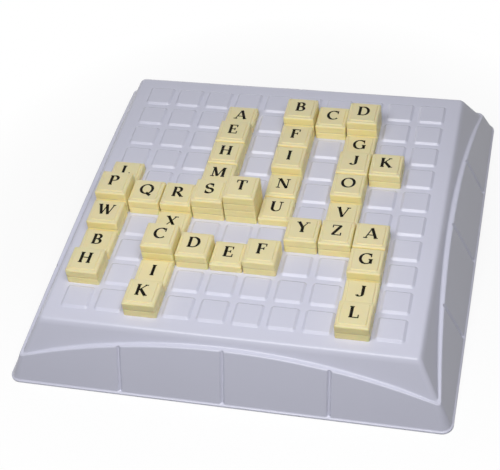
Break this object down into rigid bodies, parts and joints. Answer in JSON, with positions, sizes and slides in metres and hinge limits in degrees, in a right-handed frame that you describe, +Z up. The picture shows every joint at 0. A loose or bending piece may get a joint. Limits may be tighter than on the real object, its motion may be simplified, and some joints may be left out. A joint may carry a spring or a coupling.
{
  "type": "stacking word tile game",
  "caption": "Square hollow board with a grid of raised studs, holding hollow letter tiles that sit on the studs and stack on one another in crossing rows.",
  "frame": {"origin": "under the middle of the board, at the table", "axes": "+Z up, +Y towards the back row of the grid, +X towards the right-hand column"},
  "size_m": [0.2554, 0.2554, 0.058],
  "materials": {
    "board_plastic": "satin moulded",
    "tile_plastic": "semi-gloss moulded",
    "letter_ink": "printed"
  },
  "bodies": {
    "board": {"board": "board_plastic"},
    "top_tile_r2_c4": {"top_tile_r2_c4": "tile_plastic"},
    "top_tile_r2_c6": {"top_tile_r2_c6": "tile_plastic"},
    "top_tile_r2_c7": {"top_tile_r2_c7": "tile_plastic"},
    "top_tile_r2_c8": {"top_tile_r2_c8": "tile_plastic"},
    "top_tile_r3_c4": {"top_tile_r3_c4": "tile_plastic"},
    "top_tile_r3_c6": {"top_tile_r3_c6": "tile_plastic"},
    "top_tile_r3_c8": {"top_tile_r3_c8": "tile_plastic"},
    "top_tile_r4_c4": {"top_tile_r4_c4": "tile_plastic"},
    "top_tile_r4_c6": {"top_tile_r4_c6": "tile_plastic"},
    "top_tile_r4_c8": {"top_tile_r4_c8": "tile_plastic"},
    "top_tile_r4_c9": {"top_tile_r4_c9": "tile_plastic"},
    "top_tile_r5_c1": {"top_tile_r5_c1": "tile_plastic"},
    "top_tile_r5_c4": {"top_tile_r5_c4": "tile_plastic"},
    "top_tile_r5_c6": {"top_tile_r5_c6": "tile_plastic"},
    "top_tile_r5_c8": {"top_tile_r5_c8": "tile_plastic"},
    "top_tile_r6_c1": {"top_tile_r6_c1": "tile_plastic"},
    "top_tile_r6_c2": {"top_tile_r6_c2": "tile_plastic"},
    "top_tile_r6_c3": {"top_tile_r6_c3": "tile_plastic"},
    "top_tile_r6_c4": {"top_tile_r6_c4": "tile_plastic"},
    "top_tile_r6_c5": {"top_tile_r6_c5": "tile_plastic"},
    "top_tile_r6_c6": {"top_tile_r6_c6": "tile_plastic"},
    "top_tile_r6_c8": {"top_tile_r6_c8": "tile_plastic"},
    "top_tile_r7_c1": {"top_tile_r7_c1": "tile_plastic"},
    "top_tile_r7_c3": {"top_tile_r7_c3": "tile_plastic"},
    "top_tile_r7_c7": {"top_tile_r7_c7": "tile_plastic"},
    "top_tile_r7_c8": {"top_tile_r7_c8": "tile_plastic"},
    "top_tile_r7_c9": {"top_tile_r7_c9": "tile_plastic"},
    "top_tile_r8_c1": {"top_tile_r8_c1": "tile_plastic"},
    "top_tile_r8_c3": {"top_tile_r8_c3": "tile_plastic"},
    "top_tile_r8_c4": {"top_tile_r8_c4": "tile_plastic"},
    "top_tile_r8_c5": {"top_tile_r8_c5": "tile_plastic"},
    "top_tile_r8_c6": {"top_tile_r8_c6": "tile_plastic"},
    "top_tile_r8_c9": {"top_tile_r8_c9": "tile_plastic"},
    "top_tile_r9_c1": {"top_tile_r9_c1": "tile_plastic"},
    "top_tile_r9_c3": {"top_tile_r9_c3": "tile_plastic"},
    "top_tile_r9_c9": {"top_tile_r9_c9": "tile_plastic"},
    "top_tile_r10_c3": {"top_tile_r10_c3": "tile_plastic"},
    "top_tile_r10_c9": {"top_tile_r10_c9": "tile_plastic"},
    "first_layer_r2_c6": {"first_layer_r2_c6": "tile_plastic"},
    "first_layer_r2_c7": {"first_layer_r2_c7": "tile_plastic"},
    "first_layer_r3_c4": {"first_layer_r3_c4": "tile_plastic"},
    "first_layer_r4_c8": {"first_layer_r4_c8": "tile_plastic"},
    "first_layer_r6_c1": {"first_layer_r6_c1": "tile_plastic"},
    "first_layer_r6_c2": {"first_layer_r6_c2": "tile_plastic"},
    "first_layer_r6_c4": {"first_layer_r6_c4": "tile_plastic"},
    "first_layer_r7_c7": {"first_layer_r7_c7": "tile_plastic"},
    "first_layer_r7_c9": {"first_layer_r7_c9": "tile_plastic"},
    "first_layer_r8_c3": {"first_layer_r8_c3": "tile_plastic"},
    "second_layer_r6_c4": {"second_layer_r6_c4": "tile_plastic"},
    "second_layer_r2_c6": {"second_layer_r2_c6": "tile_plastic"},
    "second_layer_r2_c8": {"second_layer_r2_c8": "tile_plastic"},
    "first_layer_r4_c9": {"first_layer_r4_c9": "tile_plastic"},
    "second_layer_r6_c1": {"second_layer_r6_c1": "tile_plastic"},
    "third_layer_r6_c5": {"third_layer_r6_c5": "tile_plastic"},
    "second_layer_r8_c3": {"second_layer_r8_c3": "tile_plastic"},
    "first_layer_r8_c6": {"first_layer_r8_c6": "tile_plastic"},
    "first_layer_r9_c1": {"first_layer_r9_c1": "tile_plastic"},
    "first_layer_r10_c3": {"first_layer_r10_c3": "tile_plastic"},
    "first_layer_r10_c9": {"first_layer_r10_c9": "tile_plastic"}
  },
  "joints": [
    {"name": "lift_top_tile_r2_c4", "type": "slide", "parent": "board", "child": "top_tile_r2_c4", "axis": [0, 0, 1], "range_m": [0, 0.03]},
    {"name": "lift_top_tile_r2_c6", "type": "slide", "parent": "second_layer_r2_c6", "child": "top_tile_r2_c6", "axis": [0, 0, 1], "range_m": [0, 0.03]},
    {"name": "lift_top_tile_r2_c7", "type": "slide", "parent": "first_layer_r2_c7", "child": "top_tile_r2_c7", "axis": [0, 0, 1], "range_m": [0, 0.03]},
    {"name": "lift_top_tile_r2_c8", "type": "slide", "parent": "second_layer_r2_c8", "child": "top_tile_r2_c8", "axis": [0, 0, 1], "range_m": [0, 0.03]},
    {"name": "lift_top_tile_r3_c4", "type": "slide", "parent": "first_layer_r3_c4", "child": "top_tile_r3_c4", "axis": [0, 0, 1], "range_m": [0, 0.03]},
    {"name": "lift_top_tile_r3_c6", "type": "slide", "parent": "first_layer_r2_c6", "child": "top_tile_r3_c6", "axis": [0, 0, 1], "range_m": [0, 0.03]},
    {"name": "lift_top_tile_r3_c8", "type": "slide", "parent": "board", "child": "top_tile_r3_c8", "axis": [0, 0, 1], "range_m": [0, 0.03]},
    {"name": "lift_top_tile_r4_c4", "type": "slide", "parent": "first_layer_r3_c4", "child": "top_tile_r4_c4", "axis": [0, 0, 1], "range_m": [0, 0.03]},
    {"name": "lift_top_tile_r4_c6", "type": "slide", "parent": "first_layer_r2_c6", "child": "top_tile_r4_c6", "axis": [0, 0, 1], "range_m": [0, 0.03]},
    {"name": "lift_top_tile_r4_c8", "type": "slide", "parent": "first_layer_r4_c8", "child": "top_tile_r4_c8", "axis": [0, 0, 1], "range_m": [0, 0.03]},
    {"name": "lift_top_tile_r4_c9", "type": "slide", "parent": "first_layer_r4_c9", "child": "top_tile_r4_c9", "axis": [0, 0, 1], "range_m": [0, 0.03]},
    {"name": "lift_top_tile_r5_c1", "type": "slide", "parent": "board", "child": "top_tile_r5_c1", "axis": [0, 0, 1], "range_m": [0, 0.03]},
    {"name": "lift_top_tile_r5_c4", "type": "slide", "parent": "first_layer_r3_c4", "child": "top_tile_r5_c4", "axis": [0, 0, 1], "range_m": [0, 0.03]},
    {"name": "lift_top_tile_r5_c6", "type": "slide", "parent": "board", "child": "top_tile_r5_c6", "axis": [0, 0, 1], "range_m": [0, 0.03]},
    {"name": "lift_top_tile_r5_c8", "type": "slide", "parent": "first_layer_r4_c8", "child": "top_tile_r5_c8", "axis": [0, 0, 1], "range_m": [0, 0.03]},
    {"name": "lift_top_tile_r6_c1", "type": "slide", "parent": "second_layer_r6_c1", "child": "top_tile_r6_c1", "axis": [0, 0, 1], "range_m": [0, 0.03]},
    {"name": "lift_top_tile_r6_c2", "type": "slide", "parent": "first_layer_r6_c2", "child": "top_tile_r6_c2", "axis": [0, 0, 1], "range_m": [0, 0.03]},
    {"name": "lift_top_tile_r6_c3", "type": "slide", "parent": "first_layer_r6_c2", "child": "top_tile_r6_c3", "axis": [0, 0, 1], "range_m": [0, 0.03]},
    {"name": "lift_top_tile_r6_c4", "type": "slide", "parent": "second_layer_r6_c4", "child": "top_tile_r6_c4", "axis": [0, 0, 1], "range_m": [0, 0.03]},
    {"name": "lift_top_tile_r6_c5", "type": "slide", "parent": "third_layer_r6_c5", "child": "top_tile_r6_c5", "axis": [0, 0, 1], "range_m": [0, 0.03]},
    {"name": "lift_top_tile_r6_c6", "type": "slide", "parent": "board", "child": "top_tile_r6_c6", "axis": [0, 0, 1], "range_m": [0, 0.03]},
    {"name": "lift_top_tile_r6_c8", "type": "slide", "parent": "board", "child": "top_tile_r6_c8", "axis": [0, 0, 1], "range_m": [0, 0.03]},
    {"name": "lift_top_tile_r7_c1", "type": "slide", "parent": "first_layer_r6_c1", "child": "top_tile_r7_c1", "axis": [0, 0, 1], "range_m": [0, 0.03]},
    {"name": "lift_top_tile_r7_c3", "type": "slide", "parent": "board", "child": "top_tile_r7_c3", "axis": [0, 0, 1], "range_m": [0, 0.03]},
    {"name": "lift_top_tile_r7_c7", "type": "slide", "parent": "first_layer_r7_c7", "child": "top_tile_r7_c7", "axis": [0, 0, 1], "range_m": [0, 0.03]},
    {"name": "lift_top_tile_r7_c8", "type": "slide", "parent": "first_layer_r7_c7", "child": "top_tile_r7_c8", "axis": [0, 0, 1], "range_m": [0, 0.03]},
    {"name": "lift_top_tile_r7_c9", "type": "slide", "parent": "first_layer_r7_c9", "child": "top_tile_r7_c9", "axis": [0, 0, 1], "range_m": [0, 0.03]},
    {"name": "lift_top_tile_r8_c1", "type": "slide", "parent": "board", "child": "top_tile_r8_c1", "axis": [0, 0, 1], "range_m": [0, 0.03]},
    {"name": "lift_top_tile_r8_c3", "type": "slide", "parent": "second_layer_r8_c3", "child": "top_tile_r8_c3", "axis": [0, 0, 1], "range_m": [0, 0.03]},
    {"name": "lift_top_tile_r8_c4", "type": "slide", "parent": "first_layer_r8_c3", "child": "top_tile_r8_c4", "axis": [0, 0, 1], "range_m": [0, 0.03]},
    {"name": "lift_top_tile_r8_c5", "type": "slide", "parent": "board", "child": "top_tile_r8_c5", "axis": [0, 0, 1], "range_m": [0, 0.03]},
    {"name": "lift_top_tile_r8_c6", "type": "slide", "parent": "first_layer_r8_c6", "child": "top_tile_r8_c6", "axis": [0, 0, 1], "range_m": [0, 0.03]},
    {"name": "lift_top_tile_r8_c9", "type": "slide", "parent": "first_layer_r7_c9", "child": "top_tile_r8_c9", "axis": [0, 0, 1], "range_m": [0, 0.03]},
    {"name": "lift_top_tile_r9_c1", "type": "slide", "parent": "first_layer_r9_c1", "child": "top_tile_r9_c1", "axis": [0, 0, 1], "range_m": [0, 0.03]},
    {"name": "lift_top_tile_r9_c3", "type": "slide", "parent": "board", "child": "top_tile_r9_c3", "axis": [0, 0, 1], "range_m": [0, 0.03]},
    {"name": "lift_top_tile_r9_c9", "type": "slide", "parent": "board", "child": "top_tile_r9_c9", "axis": [0, 0, 1], "range_m": [0, 0.03]},
    {"name": "lift_top_tile_r10_c3", "type": "slide", "parent": "first_layer_r10_c3", "child": "top_tile_r10_c3", "axis": [0, 0, 1], "range_m": [0, 0.03]},
    {"name": "lift_top_tile_r10_c9", "type": "slide", "parent": "first_layer_r10_c9", "child": "top_tile_r10_c9", "axis": [0, 0, 1], "range_m": [0, 0.03]},
    {"name": "lift_first_layer_r2_c6", "type": "slide", "parent": "board", "child": "first_layer_r2_c6", "axis": [0, 0, 1], "range_m": [0, 0.03]},
    {"name": "lift_first_layer_r2_c7", "type": "slide", "parent": "board", "child": "first_layer_r2_c7", "axis": [0, 0, 1], "range_m": [0, 0.03]},
    {"name": "lift_first_layer_r3_c4", "type": "slide", "parent": "board", "child": "first_layer_r3_c4", "axis": [0, 0, 1], "range_m": [0, 0.03]},
    {"name": "lift_first_layer_r4_c8", "type": "slide", "parent": "board", "child": "first_layer_r4_c8", "axis": [0, 0, 1], "range_m": [0, 0.03]},
    {"name": "lift_first_layer_r6_c1", "type": "slide", "parent": "board", "child": "first_layer_r6_c1", "axis": [0, 0, 1], "range_m": [0, 0.03]},
    {"name": "lift_first_layer_r6_c2", "type": "slide", "parent": "board", "child": "first_layer_r6_c2", "axis": [0, 0, 1], "range_m": [0, 0.03]},
    {"name": "lift_first_layer_r6_c4", "type": "slide", "parent": "board", "child": "first_layer_r6_c4", "axis": [0, 0, 1], "range_m": [0, 0.03]},
    {"name": "lift_first_layer_r7_c7", "type": "slide", "parent": "board", "child": "first_layer_r7_c7", "axis": [0, 0, 1], "range_m": [0, 0.03]},
    {"name": "lift_first_layer_r7_c9", "type": "slide", "parent": "board", "child": "first_layer_r7_c9", "axis": [0, 0, 1], "range_m": [0, 0.03]},
    {"name": "lift_first_layer_r8_c3", "type": "slide", "parent": "board", "child": "first_layer_r8_c3", "axis": [0, 0, 1], "range_m": [0, 0.03]},
    {"name": "lift_second_layer_r6_c4", "type": "slide", "parent": "first_layer_r6_c4", "child": "second_layer_r6_c4", "axis": [0, 0, 1], "range_m": [0, 0.03]},
    {"name": "lift_second_layer_r2_c6", "type": "slide", "parent": "first_layer_r2_c6", "child": "second_layer_r2_c6", "axis": [0, 0, 1], "range_m": [0, 0.03]},
    {"name": "lift_second_layer_r2_c8", "type": "slide", "parent": "first_layer_r2_c7", "child": "second_layer_r2_c8", "axis": [0, 0, 1], "range_m": [0, 0.03]},
    {"name": "lift_first_layer_r4_c9", "type": "slide", "parent": "board", "child": "first_layer_r4_c9", "axis": [0, 0, 1], "range_m": [0, 0.03]},
    {"name": "lift_second_layer_r6_c1", "type": "slide", "parent": "first_layer_r6_c1", "child": "second_layer_r6_c1", "axis": [0, 0, 1], "range_m": [0, 0.03]},
    {"name": "lift_third_layer_r6_c5", "type": "slide", "parent": "second_layer_r6_c4", "child": "third_layer_r6_c5", "axis": [0, 0, 1], "range_m": [0, 0.03]},
    {"name": "lift_second_layer_r8_c3", "type": "slide", "parent": "first_layer_r8_c3", "child": "second_layer_r8_c3", "axis": [0, 0, 1], "range_m": [0, 0.03]},
    {"name": "lift_first_layer_r8_c6", "type": "slide", "parent": "board", "child": "first_layer_r8_c6", "axis": [0, 0, 1], "range_m": [0, 0.03]},
    {"name": "lift_first_layer_r9_c1", "type": "slide", "parent": "board", "child": "first_layer_r9_c1", "axis": [0, 0, 1], "range_m": [0, 0.03]},
    {"name": "lift_first_layer_r10_c3", "type": "slide", "parent": "board", "child": "first_layer_r10_c3", "axis": [0, 0, 1], "range_m": [0, 0.03]},
    {"name": "lift_first_layer_r10_c9", "type": "slide", "parent": "board", "child": "first_layer_r10_c9", "axis": [0, 0, 1], "range_m": [0, 0.03]}
  ]
}
